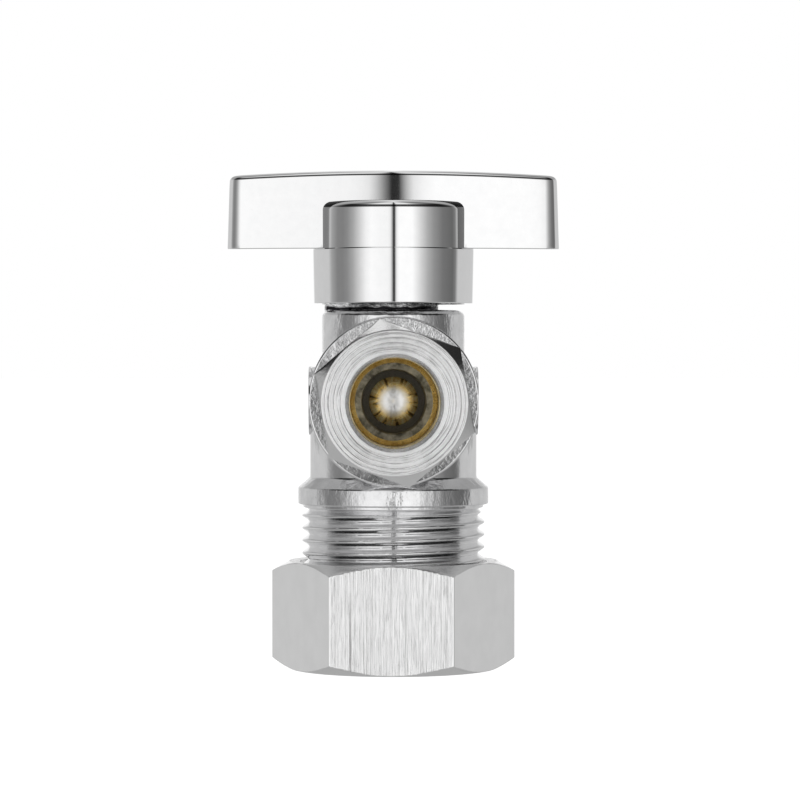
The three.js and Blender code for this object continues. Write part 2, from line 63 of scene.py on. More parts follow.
def rounded(points):
    """[r, z] points of a profile, with an arc of radius f at each [r, z, f] point."""
    out = []
    for i, point in enumerate(points):
        if len(point) == 2 or not point[2]:
            out.append((point[0], point[1]))
            continue
        r, z, f = point
        b = Vector((r, z))
        a = Vector(points[i - 1][:2]) - b
        c = Vector(points[(i + 1) % len(points)][:2]) - b
        angle = a.angle(c)
        reach = min(f / math.tan(angle / 2), 0.49 * a.length, 0.49 * c.length)
        middle = (a.normalized() + c.normalized()).normalized()
        centre = b + middle * (reach / math.cos(angle / 2))
        start = b + a.normalized() * reach - centre
        end = b + c.normalized() * reach - centre
        steps = max(2, math.ceil((math.pi - angle) / math.radians(14)))
        turn = start.angle_signed(end)
        for k in range(steps + 1):
            t = -turn * k / steps
            x = start.x * math.cos(t) - start.y * math.sin(t)
            y = start.x * math.sin(t) + start.y * math.cos(t)
            out.append((centre.x + x, centre.y + y))
    return out


def ridge(phase):
    """Height of a thread's ridge from 0 at the root to 1 at the crest, over one pitch."""
    t = abs(2 * (phase % 1.0) - 1)
    t = min(1.0, max(0.0, (t - 0.03) / 0.86))
    return 0.6 * t + 0.4 * t * t * (3 - 2 * t)


def thread_rows(root, depth, pitch, start, low, high, fade_low=1.0, fade_high=1.0, steps=22):
    """Rows of a threaded cylinder: a root passes angle 0 at height start."""
    rows = []
    count = math.ceil((high - low) / pitch * steps)
    for k in range(count + 1):
        z = low + (high - low) * k / count

        def radius(theta, z=z):
            grown = min(1.0, (z - low) / (fade_low * pitch), (high - z) / (fade_high * pitch))
            return root + depth * max(0.0, grown) * ridge((z - start) / pitch - theta / (2 * math.pi) + 0.5)

        rows.append((radius, z))
    return rows


def hexagon(flats, turn, face, low, high, sharpness=450):
    """Rows of a hexagonal nut whose ends are chamfered to a round face; its edges are barely broken."""

    def nearest(first, second):
        least = min(first, second)
        return least * ((least / first) ** sharpness + (least / second) ** sharpness) ** (-1 / sharpness)

    def sides(theta):
        reach = [math.cos(theta - turn - math.radians(30 + 60 * k)) for k in range(6)]
        best, second = sorted(reach)[:-3:-1]
        return nearest(flats / 2 / best, flats / 2 / max(second, 0.1))

    slope = math.tan(math.radians(60))
    corner = flats / math.sqrt(3)
    chamfer = (corner + 0.15 - face) / slope
    fine = [chamfer * k / 18 for k in range(19)]
    heights = [low + d for d in fine]
    heights += [low + chamfer + (high - low - 2 * chamfer) * k / 8 for k in range(1, 8)]
    heights += [high - d for d in reversed(fine)]
    rows = []
    for z in heights:

        def radius(theta, z=z):
            cone = face + min(z - low, high - z) * slope
            return nearest(sides(theta), cone)

        rows.append((radius, z))
    return rows


def even(count):
    return [2 * math.pi * k / count for k in range(count)]


def hex_angles(turn):
    """Angles round a nut, closest together at its corners."""
    steps = [0, 0.25, 0.55, 0.9, 1.4, 2.1, 3.1, 4.5, 6.5, 9, 11.5, 14, 16.5, 19, 21.5, 24, 26, 28, 30]
    out = []
    for k in range(6):
        half = [math.radians(60 * k + s) for s in steps]
        out += half + [math.radians(60 * (k + 1) - s) for s in reversed(steps[1:-1])]
    return [a + turn for a in out]


# ------------------------------------------------------------------ meshes


def solid_of(rows, angles, closed=False):
    """A bmesh from rows [radius or function of the angle, height], closed on itself or at the axis."""
    bm = bmesh.new()
    rings = []
    for r, z in rows:
        if not callable(r) and r < 1e-6:
            rings.append([bm.verts.new((0, 0, z * MM))])
            continue
        ring = []
        for a in angles:
            radius = r(a) if callable(r) else r
            ring.append(bm.verts.new((radius * math.cos(a) * MM, radius * math.sin(a) * MM, z * MM)))
        rings.append(ring)
    pairs = list(zip(rings, rings[1:])) + ([(rings[-1], rings[0])] if closed else [])
    n = len(angles)
    for low, high in pairs:
        if len(low) == 1 and len(high) == 1:
            continue
        for i in range(n):
            j = (i + 1) % n
            if len(low) == 1:
                bm.faces.new((low[0], high[j], high[i]))
            elif len(high) == 1:
                bm.faces.new((low[i], low[j], high[0]))
            else:
                bm.faces.new((low[i], low[j], high[j], high[i]))
    bmesh.ops.recalc_face_normals(bm, faces=bm.faces[:])
    return bm


def object_of(bm, name):
    mesh = bpy.data.meshes.new(name)
    bm.to_mesh(mesh)
    bm.free()
    obj = bpy.data.objects.new(name, mesh)
    bpy.context.collection.objects.link(obj)
    return obj


def lathe(name, rows, angles=None, closed=False, matrix=None):
    bm = solid_of(rows, angles or even(128), closed)
    if matrix is not None:
        bmesh.ops.transform(bm, matrix=matrix, verts=bm.verts[:])
    return object_of(bm, name)


TO_OUTLET = Matrix.Translation((0, 0, AXIS_Z * MM)) @ Matrix.Rotation(math.radians(90), 4, "X")
TO_REAR = Matrix.Translation((0, 0, AXIS_Z * MM)) @ Matrix.Rotation(math.radians(-90), 4, "X")


def block(name, low, high, edge=0.0):
    """A box between two corners, its edges rounded."""
    bm = bmesh.new()
    bmesh.ops.create_cube(bm, size=1)
    size = Vector(high) - Vector(low)
    middle = (Vector(high) + Vector(low)) / 2
    for v in bm.verts:
        v.co = Vector((v.co.x * size.x, v.co.y * size.y, v.co.z * size.z)) * MM + middle * MM
    if edge:
        bmesh.ops.bevel(bm, geom=bm.edges[:], offset=edge * MM, segments=3, profile=0.5, affect="EDGES")
    return object_of(bm, name)


def apply_modifiers(obj):
    graph = bpy.context.evaluated_depsgraph_get()
    mesh = bpy.data.meshes.new_from_object(obj.evaluated_get(graph))
    obj.modifiers.clear()
    old = obj.data
    obj.data = mesh
    bpy.data.meshes.remove(old)


def combine(obj, operation, *tools):
    for tool in tools:
        modifier = obj.modifiers.new(operation, "BOOLEAN")
        modifier.operation = operation
        modifier.solver = "EXACT"
        modifier.object = tool
        apply_modifiers(obj)
        bpy.data.objects.remove(tool)
    return obj


def smooth(obj, angle=38):
    mesh = obj.data
    for polygon in mesh.polygons:
        polygon.use_smooth = True
    mesh.set_sharp_from_angle(angle=math.radians(angle))
    modifier = obj.modifiers.new("normals", "WEIGHTED_NORMAL")
    modifier.keep_sharp = True
    modifier.weight = 60
    return obj


# ------------------------------------------------------------------ materials


class Nodes:
    """A short way to write a node tree."""

    def __init__(self, tree):
        self.tree = tree
        tree.nodes.clear()

    def add(self, kind, values=(), **settings):
        node = self.tree.nodes.new(kind)
        for key, value in settings.items():
            setattr(node, key, value)
        for key, value in dict(values).items():
            if isinstance(value, bpy.types.NodeSocket):
                self.tree.links.new(value, node.inputs[key])
            else:
                node.inputs[key].default_value = value
        return node

    def math(self, operation, a, b=0.0, c=0.0):
        return self.add("ShaderNodeMath", {0: a, 1: b, 2: c}, operation=operation).outputs[0]

    def vector(self, operation, a, b=(0, 0, 0)):
        node = self.add("ShaderNodeVectorMath", {0: a, 1: b}, operation=operation)
        return node.outputs["Value" if operation in ("LENGTH", "DOT_PRODUCT") else "Vector"]

    def ramp(self, value, stops, interpolation="LINEAR"):
        node = self.add("ShaderNodeValToRGB", {0: value})
        node.color_ramp.interpolation = interpolation
        elements = node.color_ramp.elements
        while len(elements) > 1:
            elements.remove(elements[-1])
        for k, (position, colour) in enumerate(stops):
            element = elements[0] if k == 0 else elements.new(position)
            element.position = position
            rgb = (colour,) * 3 if isinstance(colour, (int, float)) else colour
            element.color = (*rgb, 1)
        return node.outputs[0]

    def spread(self, value, low, high, to_low=0.0, to_high=1.0):
        values = {"Value": value, "From Min": low, "From Max": high, "To Min": to_low, "To Max": to_high}
        return self.add("ShaderNodeMapRange", values).outputs[0]

    def noise(self, vector, scale, detail=3.0, roughness=0.55, distortion=0.0):
        values = {"Vector": vector, "Scale": scale, "Detail": detail, "Roughness": roughness}
        values["Distortion"] = distortion
        return self.add("ShaderNodeTexNoise", values).outputs["Fac"]

    def mix(self, factor, a, b):
        node = self.add("ShaderNodeMix", data_type="RGBA")
        for key, value in ((0, factor), (6, a), (7, b)):
            if isinstance(value, bpy.types.NodeSocket):
                self.tree.links.new(value, node.inputs[key])
            else:
                node.inputs[key].default_value = value if key == 0 else (*value, 1)
        return node.outputs[2]


def material(name, build):
    made = bpy.data.materials.new(name)
    made.use_nodes = True
    nodes = Nodes(made.node_tree)
    shader = nodes.add("ShaderNodeBsdfPrincipled")
    place = nodes.add("ShaderNodeTexCoord").outputs["Object"]
    place = nodes.vector("SCALE", place)
    place.node.inputs["Scale"].default_value = 1000  # millimetres
    build(nodes, shader, place)
    output = nodes.add("ShaderNodeOutputMaterial")
    made.node_tree.links.new(shader.outputs[0], output.inputs["Surface"])
    return made


def link(nodes, value, shader, socket):
    nodes.tree.links.new(value, shader.inputs[socket])


def bump(nodes, height, distance, strength=1.0, below=None):
    values = {"Height": height, "Distance": distance * MM, "Strength": strength}
    if below is not None:
        values["Normal"] = below
    return nodes.add("ShaderNodeBump", values).outputs[0]


def polished_chrome(nodes, shader, place):
    """The handle: bright plating with a faint waviness and very fine polishing marks."""
    shader.inputs["Metallic"].default_value = 1
    waves = nodes.noise(place, 0.16, 1)
    haze = nodes.noise(place, 0.9, 4)
    marks = nodes.noise(nodes.vector("MULTIPLY", place, (0.5, 0.5, 6)), 2.2, 3)
    tint = nodes.ramp(haze, [(0.3, (0.9, 0.901, 0.904)), (0.7, (0.935, 0.935, 0.936))])
    link(nodes, tint, shader, "Base Color")
    link(nodes, nodes.spread(haze, 0.35, 0.7, 0.03, 0.05), shader, "Roughness")
    normal = bump(nodes, waves, 0.012, 0.4)
    link(nodes, bump(nodes, marks, 0.0003, 0.4, normal), shader, "Normal")


def cast_chrome(nodes, shader, place):
    """The body as cast: plating over a blasted surface, so its reflections are broken up."""
    shader.inputs["Metallic"].default_value = 1
    broad = nodes.noise(place, 0.5, 3)
    peel = nodes.noise(nodes.vector("MULTIPLY", place, (1, 1, 0.5)), 0.85, 3, 0.55)
    grit = nodes.noise(place, 4.5, 2)
    plated = nodes.ramp(broad, [(0.3, (0.74, 0.74, 0.745)), (0.7, (0.88, 0.88, 0.885))])
    height = nodes.add("ShaderNodeSeparateXYZ", {0: place}).outputs[2]
    ragged = nodes.math("ADD", height, nodes.math("MULTIPLY", peel, 0.7))
    # Painted shade: a ragged band at the foot of the neck is coloured almost black, standing in for the shade
    # where the neck meets the body's top.
    neck_foot_painted_shade = nodes.math("MULTIPLY", nodes.spread(ragged, 40.62, 40.8), nodes.spread(ragged, 41.3, 41.05))
    link(nodes, nodes.mix(neck_foot_painted_shade, plated, (0.015, 0.014, 0.016)), shader, "Base Color")
    link(nodes, nodes.spread(grit, 0.3, 0.75, 0.08, 0.2), shader, "Roughness")
    normal = bump(nodes, peel, 0.16, 0.6)
    link(nodes, bump(nodes, grit, 0.03, 0.6, normal), shader, "Normal")


def machined_chrome(nodes, shader, place):
    """The body where it was turned or milled: smooth plating with faint tool marks and haze."""
    shader.inputs["Metallic"].default_value = 1
    haze = nodes.noise(place, 0.7, 4)
    marks = nodes.noise(nodes.vector("MULTIPLY", place, (0.25, 0.25, 5)), 1.2, 3, 0.6)
    pits = nodes.noise(place, 2.6, 2)
    tint = nodes.ramp(haze, [(0.3, (0.83, 0.83, 0.835)), (0.7, (0.9, 0.9, 0.903))])
    link(nodes, tint, shader, "Base Color")
    link(nodes, nodes.spread(haze, 0.3, 0.7, 0.08, 0.14), shader, "Roughness")
    normal = bump(nodes, marks, 0.0012, 0.5)
    link(nodes, bump(nodes, pits, 0.02, 0.5, normal), shader, "Normal")


def turned_chrome(axis_at, axis, drawn_flats_and_painted_rim):
    """A nut: turned in rings on its end faces, and drawn lengthwise on the two flats that face the given
    direction.
    """

    def build(nodes, shader, place):
        shader.inputs["Metallic"].default_value = 1
        along = nodes.vector("MULTIPLY", place, axis)
        centred = nodes.vector("SUBTRACT", place, axis_at)
        radial = nodes.vector("SUBTRACT", centred, nodes.vector("MULTIPLY", centred, axis))
        radius = nodes.vector("LENGTH", radial)
        wobble = nodes.noise(place, 0.3, 2)
        ring_at = nodes.math("ADD", radius, nodes.math("MULTIPLY", wobble, 0.5))
        broken = nodes.noise(nodes.vector("MULTIPLY", place, (0.6, 0.6, 0.6)), 1.1, 3)
        grooves = nodes.noise(nodes.add("ShaderNodeCombineXYZ", {0: ring_at}).outputs[0], 2.3, 3, 0.7)
        cuts = nodes.ramp(grooves, [(0.34, 0.0), (0.46, 0.5), (0.56, 1.0)])
        gaps = nodes.spread(broken, 0.35, 0.6, 0.45, 1.0)
        faded = nodes.math("MULTIPLY", nodes.math("SUBTRACT", 1.0, cuts), gaps)
        rings = nodes.math("SUBTRACT", 1.0, faded)
        squashed = nodes.vector("ADD", radial, nodes.vector("MULTIPLY", along, (0.008, 0.008, 0.008)))
        lines = nodes.noise(squashed, 3.0, 4, 0.7)
        normal_at = nodes.add("ShaderNodeNewGeometry").outputs["Normal"]
        object_normal = nodes.add("ShaderNodeVectorTransform", {0: normal_at}, vector_type="NORMAL",
                                  convert_from="WORLD", convert_to="OBJECT").outputs[0]
        facing = nodes.math("ABSOLUTE", nodes.vector("DOT_PRODUCT", object_normal, axis))
        on_face = nodes.spread(facing, 0.9, 0.95)
        broad = nodes.noise(place, 0.4, 3)
        ringed = nodes.ramp(rings, [(0.0, 0.12), (0.45, 0.62), (0.85, 0.97)])
        plain = nodes.ramp(broad, [(0.3, 0.87), (0.7, 0.91)])
        along_rubbed = nodes.math("ABSOLUTE", nodes.vector("DOT_PRODUCT", object_normal, drawn_flats_and_painted_rim))
        on_rubbed = nodes.spread(along_rubbed, 0.85, 0.95)
        drawn = nodes.ramp(lines, [(0.3, 0.42), (0.38, 0.82), (0.48, 0.97)])
        plain = nodes.mix(on_rubbed, plain, drawn)
        tint = nodes.mix(on_face, plain, ringed)
        link(nodes, tint, shader, "Base Color")
        link(nodes, nodes.spread(on_face, 0, 1, 0.13, 0.34), shader, "Roughness")
        grain = nodes.noise(place, 7.0, 2)
        normal = bump(nodes, lines, 0.04, 0.6)
        link(nodes, nodes.spread(on_rubbed, 0, 1, 0.3, 1.0), normal.node, "Strength")
        deep = bump(nodes, rings, 0.03, 0.7, normal)
        link(nodes, on_face, deep.node, "Strength")
        link(nodes, bump(nodes, grain, 0.004, 0.4, deep), shader, "Normal")

    return build


def bare_brass(nodes, shader, place):
    shader.inputs["Metallic"].default_value = 1
    stains = nodes.noise(place, 0.8, 4, 0.65)
    turned = nodes.noise(nodes.vector("MULTIPLY", place, (0.2, 4, 0.2)), 1.5, 4, 0.7)
    dull, plain, bright = (0.62, 0.45, 0.2), (0.92, 0.76, 0.42), (1.0, 0.88, 0.58)
    tint = nodes.ramp(stains, [(0.34, dull), (0.46, plain), (0.66, bright)])
    link(nodes, tint, shader, "Base Color")
    link(nodes, nodes.spread(stains, 0.3, 0.7, 0.36, 0.16), shader, "Roughness")
    normal = bump(nodes, stains, 0.1, 0.6)
    link(nodes, bump(nodes, turned, 0.02, 0.6, normal), shader, "Normal")


def painted_shade_brass(nodes, shader, place):
    """The step inside the outlet: brass whose colour is darkened and dulled into painted shade, as it lies
    deep in the outlet.
    """
    shader.inputs["Metallic"].default_value = 0.6
    patches = nodes.noise(place, 1.1, 4, 0.6)
    dark, middling, light = (0.1, 0.09, 0.06), (0.27, 0.25, 0.19), (0.45, 0.4, 0.28)
    tint = nodes.ramp(patches, [(0.36, dark), (0.52, middling), (0.7, light)])
    link(nodes, tint, shader, "Base Color")
    link(nodes, nodes.spread(patches, 0.3, 0.7, 0.42, 0.3), shader, "Roughness")
    link(nodes, bump(nodes, patches, 0.04, 0.5), shader, "Normal")


def ball_chrome(nodes, shader, place):
    """The ball: polished; near its rim its colour carries a painted reflection of the brass walls, gold with
    dark streaks.
    """
    centred = nodes.vector("SUBTRACT", place, (0, 0, AXIS_Z))
    x, _, z = nodes.add("ShaderNodeSeparateXYZ", {0: centred}).outputs
    from_axis = nodes.vector("LENGTH", nodes.vector("MULTIPLY", centred, (1, 0, 1)))
    haze = nodes.noise(place, 1.4, 4)
    around = nodes.math("ARCTAN2", z, x)
    around = nodes.math("MULTIPLY", around, 3.0)
    streak_at = nodes.add("ShaderNodeCombineXYZ", {0: around, 1: from_axis}).outputs[0]
    streaks = nodes.noise(nodes.vector("MULTIPLY", streak_at, (1, 0.35, 1)), 1.3, 3, 0.6)
    # Painted reflection: the gold and dark brown streaks towards the rim stand in for the brass walls that
    # the ball mirrors there.
    painted_brass_reflection = nodes.ramp(streaks, [(0.4, (0.16, 0.1, 0.03)), (0.46, (0.85, 0.6, 0.2)), (0.58, (1.0, 0.86, 0.5))])
    plated = nodes.ramp(haze, [(0.3, (0.85, 0.84, 0.82)), (0.7, (0.93, 0.92, 0.9))])
    edge = nodes.math("ADD", from_axis, nodes.math("MULTIPLY", streaks, 0.8))
    drawn_flats_and_painted_rim = nodes.spread(edge, 1.9, 2.3)
    link(nodes, nodes.mix(drawn_flats_and_painted_rim, plated, painted_brass_reflection), shader, "Base Color")
    link(nodes, nodes.spread(from_axis, 0.8, 2.4, 0.12, 0.3), shader, "Roughness")
    shader.inputs["Metallic"].default_value = 0.85
    # The front's normals lean towards the outlet, so that it mirrors more of the bright mouth than its
    # own roundness would. The mesh stays a sphere.
    own_normal = nodes.add("ShaderNodeTexCoord").outputs["Normal"]
    flatter = nodes.add("ShaderNodeVectorTransform", {0: nodes.vector("ADD", own_normal, (0, -1.2, 0))},
                        vector_type="NORMAL", convert_from="OBJECT", convert_to="WORLD").outputs[0]
    near_front = nodes.spread(nodes.vector("DOT_PRODUCT", own_normal, (0, -1, 0)), 0.8, 0.88)
    world_normal = nodes.add("ShaderNodeNewGeometry").outputs["Normal"]
    mixed = {0: near_front, 4: world_normal, 5: flatter}
    leaning = nodes.add("ShaderNodeMix", mixed, data_type="VECTOR").outputs[1]
    link(nodes, bump(nodes, streaks, 0.03, 0.5, nodes.vector("NORMALIZE", leaning)), shader, "Normal")


def filled_plastic(nodes, shader, place):
    """The seats: fluoropolymer with a filler, cut on a lathe."""
    speckle = nodes.noise(place, 6.0, 3)
    rings = nodes.noise(nodes.vector("MULTIPLY", place, (0.3, 6, 0.3)), 1.2, 3)
    tint = nodes.ramp(speckle, [(0.3, (0.12, 0.115, 0.1)), (0.7, (0.2, 0.195, 0.175))])
    link(nodes, tint, shader, "Base Color")
    link(nodes, nodes.spread(speckle, 0.3, 0.7, 0.42, 0.55), shader, "Roughness")
    link(nodes, bump(nodes, rings, 0.01, 0.5), shader, "Normal")


def rubber(nodes, shader, place):
    speckle = nodes.noise(place, 4.0, 4)
    link(nodes, nodes.ramp(speckle, [(0.3, 0.012), (0.7, 0.03)]), shader, "Base Color")
    link(nodes, nodes.spread(speckle, 0.3, 0.7, 0.55, 0.75), shader, "Roughness")
    link(nodes, bump(nodes, speckle, 0.02, 0.4), shader, "Normal")


def plain_steel(nodes, shader, place):
    shader.inputs["Metallic"].default_value = 1
    scuffs = nodes.noise(place, 2.2, 5, 0.65)
    tint = nodes.ramp(scuffs, [(0.3, (0.5, 0.505, 0.51)), (0.7, (0.66, 0.665, 0.67))])
    link(nodes, tint, shader, "Base Color")
    link(nodes, nodes.spread(scuffs, 0.3, 0.7, 0.22, 0.4), shader, "Roughness")
    link(nodes, bump(nodes, scuffs, 0.012, 0.5), shader, "Normal")


HANDLE_CHROME = material("polished_chrome", polished_chrome)
BODY_CHROME = material("machined_chrome", machined_chrome)
CAST_CHROME = material("cast_chrome", cast_chrome)
PAINTED_SHADE_BRASS = material("painted_shade_brass", painted_shade_brass)
INLET_NUT_CHROME = material("inlet_nut_chrome", turned_chrome((0, 0, 0), (0, 0, 1), (0, 1, 0)))
OUTLET_NUT_CHROME = material("outlet_nut_chrome", turned_chrome((0, 0, AXIS_Z), (0, 1, 0), (0, 0, 1)))
BRASS = material("bare_brass", bare_brass)
BALL_CHROME = material("ball_chrome", ball_chrome)
PLASTIC = material("filled_plastic", filled_plastic)
RUBBER = material("moulded_rubber", rubber)
STEEL = material("plain_steel", plain_steel)


def hand_over(obj, look, body, slot, *nodes):
    """Gives a piece its look and its body, and hides the nodes that it stands for. The slot is not used."""
    if not obj.data.materials:
        obj.data.materials.append(look)
    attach(obj, body)
    if nodes:
        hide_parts(*nodes)
    return obj


# ------------------------------------------------------------------ valve body

INLET_THREAD = {"root": 9.6, "depth": 0.74, "pitch": 1.411, "start": 7.39}
OUTLET_THREAD = {"root": 6.5, "depth": 0.6, "pitch": 1.058, "start": 10.9}


def body_outside():
    rows = rounded([(0, 6.65), (9.2, 6.65, 0.15), (9.58, 7.05)])
    rows += thread_rows(**INLET_THREAD, low=7.1, high=18.0, fade_low=0.9, fade_high=0.35)
    rows += rounded([
        (9.6, 18.03),
        (10.2, 18.2, 0.12),
        (10.2, 18.55, 0.05),
        (10.78, 18.55, 0.18),
        (10.78, 20.45, 0.35),
        (9.45, 21.6, 0.5),
        (9.45, 34.0, 0.25),
        (8.05, 34.4, 0.3),
        (8.05, 40.4, 0.75),
        (5.1, 40.4, 0.15),
        (5.1, 43.45, 0.2),
        (0, 43.45),
    ])[1:]
    return lathe("body", rows, even(192))


def boss():
    rows = rounded([(0, 0), (9.45, 0), (9.45, 10.4, 0.25), (6.9, 10.4, 0.2), (6.5, 10.6)])
    rows += thread_rows(**OUTLET_THREAD, low=10.65, high=17.6, fade_low=0.4, fade_high=0.9)
    rows += rounded([(6.5, 17.62), (6.25, 18.0, 0.1), (0, 18.0)])
    return combine(lathe("boss", rows, matrix=TO_OUTLET), "INTERSECT",
                   block("boss_width", (-9.22, -25, 15), (9.22, 10, 45)))


def body_inside():
    return lathe("body_inside", rounded([
        (0, 5.65),
        (9.24, 5.65),
        (9.04, 6.65, 0.0),
        (8.04, 9.05, 0.2),
        (8.04, 16.85, 0.15),
        (6.1, 16.85, 0.1),
        (6.1, 37.55, 0.2),
        (3.25, 37.55, 0.1),
        (3.25, 43.15, 0.1),
        (3.75, 43.65),
        (3.75, 44.45),
        (0, 44.45),
    ]), even(96))


def outlet_inside():
    return lathe("outlet_inside", rounded([
        (0, 0),
        (4.4, 0),
        (4.4, 8.1, 0.1),
        (3.55, 8.1, 0.1),
        (3.55, 9.6, 0.12),
        (4.3, 9.6, 0.12),
        (4.845, 9.95, 0.1),
        (4.845, 15.6, 0.3),
        (5.845, 18.0),
        (5.99, 18.4),
        (5.99, 19.0),
        (0, 19.0),
    ]), even(96), matrix=TO_OUTLET)


def rear_pocket():
    profile = rounded([(0, 0), (4.4, 0), (4.4, 7.6, 0.15), (0, 7.6)])
    return lathe("rear_pocket", profile, even(96), matrix=TO_REAR)


def stop_lug():
    """The lug that stands on the body's left shoulder and stops the handle."""
    bm = bmesh.new()
    outline = []
    half = math.radians(14)
    for k in range(9):
        a = math.pi - half + 2 * half * k / 8
        outline.append((7.78 * math.cos(a), 7.78 * math.sin(a)))
    for k in range(9):
        a = math.pi + half - 2 * half * k / 8
        outline.append((4.9 * math.cos(a), 4.9 * math.sin(a)))
    low = [bm.verts.new((x * MM, y * MM, 39.65 * MM)) for x, y in outline]
    high = [bm.verts.new((x * MM, y * MM, 43.15 * MM)) for x, y in outline]
    bm.faces.new(low)
    bm.faces.new(high)
    for i in range(len(low)):
        j = (i + 1) % len(low)
        bm.faces.new((low[i], low[j], high[j], high[i]))
    bmesh.ops.recalc_face_normals(bm, faces=bm.faces[:])
    return object_of(bm, "lug")


def side_pad(side):
    """A round pad with a raised rim, left plain."""
    rows = rounded([
        (0, 5),
        (3.9, 5),
        (3.9, 9.55, 0.08),
        (3.25, 9.55, 0.06),
        (3.2, 9.48, 0.04),
        (0, 9.48),
    ])
    matrix = Matrix.Translation((0, 0, AXIS_Z * MM)) @ Matrix.Rotation(math.radians(90 * side), 4, "Y")
    return lathe("pad", rows, even(72), matrix=matrix)


def valve_body():
    body = combine(body_outside(), "UNION", boss(), stop_lug(), side_pad(1), side_pad(-1))
    combine(body, "DIFFERENCE", body_inside(), outlet_inside(), rear_pocket())
    body.data.materials.clear()
    for look in (BODY_CHROME, BRASS, CAST_CHROME, PAINTED_SHADE_BRASS):
        body.data.materials.append(look)
    for polygon in body.data.polygons:
        x, y, z = polygon.center / MM
        inlet_radius = math.hypot(x, y)
        outlet_radius = math.hypot(x, z - AXIS_Z)
        toward_inlet = polygon.normal.x * x + polygon.normal.y * y < -0.2 * inlet_radius
        toward_outlet = polygon.normal.x * x + polygon.normal.z * (z - AXIS_Z) < -0.2 * outlet_radius
        level = abs(polygon.normal.z) > 0.9
        ledge = level and z > 8 and inlet_radius < 8.1
        in_inlet = inlet_radius < 8.3 and z < 37.7 and (toward_inlet or ledge)
        in_outlet = outlet_radius < 5.95 and y < -5 and (toward_outlet or y > -17.5)
        collar = 18.3 < z < 21.5 and inlet_radius > 9.3
        # The outlet's shoulder and what lies deeper take the brass darkened with painted shade.
        if in_outlet and (y > -9.59 or outlet_radius < 4.31):
            polygon.material_index = 3
        elif in_inlet or in_outlet:
            polygon.material_index = 1
        elif z > 34.5 or collar:
            polygon.material_index = 2
        else:
            polygon.material_index = 0
    return smooth(body)


hand_over(valve_body(), BODY_CHROME, "valve", "chrome_plated_brass", "valve_body")

# ------------------------------------------------------------------ handle

WING = {
    "length": 18.71,
    "width": 4.85,
    "face": 75.0,
    "end": 2.1,
    "top": 56.0,
    "crown": 0.5,
    "low": 47.25,
    "draft": 0.25,
}


def wing_outline(inset):
    """The wing seen from above, drawn in by inset all round."""
    end, face = WING["end"] - inset, WING["face"] - inset
    centre_y = WING["face"] - WING["width"]
    end_x = WING["length"] - WING["end"]
    meet = math.asin(end_x / (WING["face"] - WING["end"]))
    end_y = centre_y - (WING["face"] - WING["end"]) * math.cos(meet)
    end_y = min(0.0, end_y)
    front = []
    quarter = math.pi / 2
    for k in range(13):
        a = -math.pi + (quarter - meet) * k / 12
        front.append((-end_x + end * math.cos(a), end_y + end * math.sin(a)))
    for k in range(1, 60):
        a = -quarter - meet + 2 * meet * k / 60
        front.append((face * math.cos(a), centre_y + face * math.sin(a)))
    for k in range(13):
        a = -quarter + meet + (quarter - meet) * k / 12
        front.append((end_x + end * math.cos(a), end_y + end * math.sin(a)))
    back = [(-x, -y) for x, y in front[1:-1]]
    return front + back


def wing():
    bm = bmesh.new()
    edge = 0.62
    levels = [(0.0, 0.0, 0.16), (0.0, 0.05, 0.05), (0.0, 0.16, 0.0)]
    levels += [(k / 6, 0.0, 0.0) for k in range(1, 6)]
    for k in range(9):
        a = math.radians(90 * k / 8)
        levels.append((1.0, -edge * (1 - math.sin(a)), edge * (1 - math.cos(a))))
    rings = []
    for share, offset, inset in levels:
        ring = []
        for x, y in wing_outline(inset + WING["draft"] * share):
            rise = WING["top"] - WING["crown"] * (x / WING["length"]) ** 2 - WING["low"]
            ring.append(bm.verts.new((x * MM, y * MM, (WING["low"] + share * rise + offset) * MM)))
        rings.append(ring)
    # The top is closed by smaller and smaller outlines, so that its crown stays smooth.
    n = len(rings[0])
    top = rings[-1]
    for shrink in (0.8, 0.55, 0.3, 0.1):
        ring = []
        for v in top:
            x, y = v.co.x / MM, v.co.y / MM
            rise = WING["top"] - WING["crown"] * (x / WING["length"]) ** 2
            ring.append(bm.verts.new((x * MM, y * shrink * MM, rise * MM)))
        rings.append(ring)
    for low, high in zip(rings, rings[1:]):
        for i in range(n):
            j = (i + 1) % n
            bm.faces.new((low[i], low[j], high[j], high[i]))
    last = rings[-1]
    half = n // 2
    for i in range(half):
        a, b, c, d = last[i], last[i + 1], last[(n - i - 1) % n], last[(n - i) % n]
        bm.faces.new([v for k, v in enumerate((a, b, c, d)) if v not in (a, b, c, d)[:k]])
    bm.faces.new(list(reversed(rings[0])))
    bmesh.ops.remove_doubles(bm, verts=bm.verts[:], dist=1e-7)
    bmesh.ops.recalc_face_normals(bm, faces=bm.faces[:])
    return object_of(bm, "wing")


def hub_and_cavity():
    hub = lathe("handle", rounded([
        (0, 41.15),
        (9.0, 41.15, 0.12),
        (9.12, 47.2, 0.06),
        (9.06, 47.3, 0.05),
        (9.0, 52.55, 0.95),
        (0, 52.55),
    ]), even(160))
    cavity = lathe("cavity", rounded([(0, 40), (8.1, 40), (8.1, 45.65, 0.3), (0, 45.65)]), even(96))
    return hub, cavity


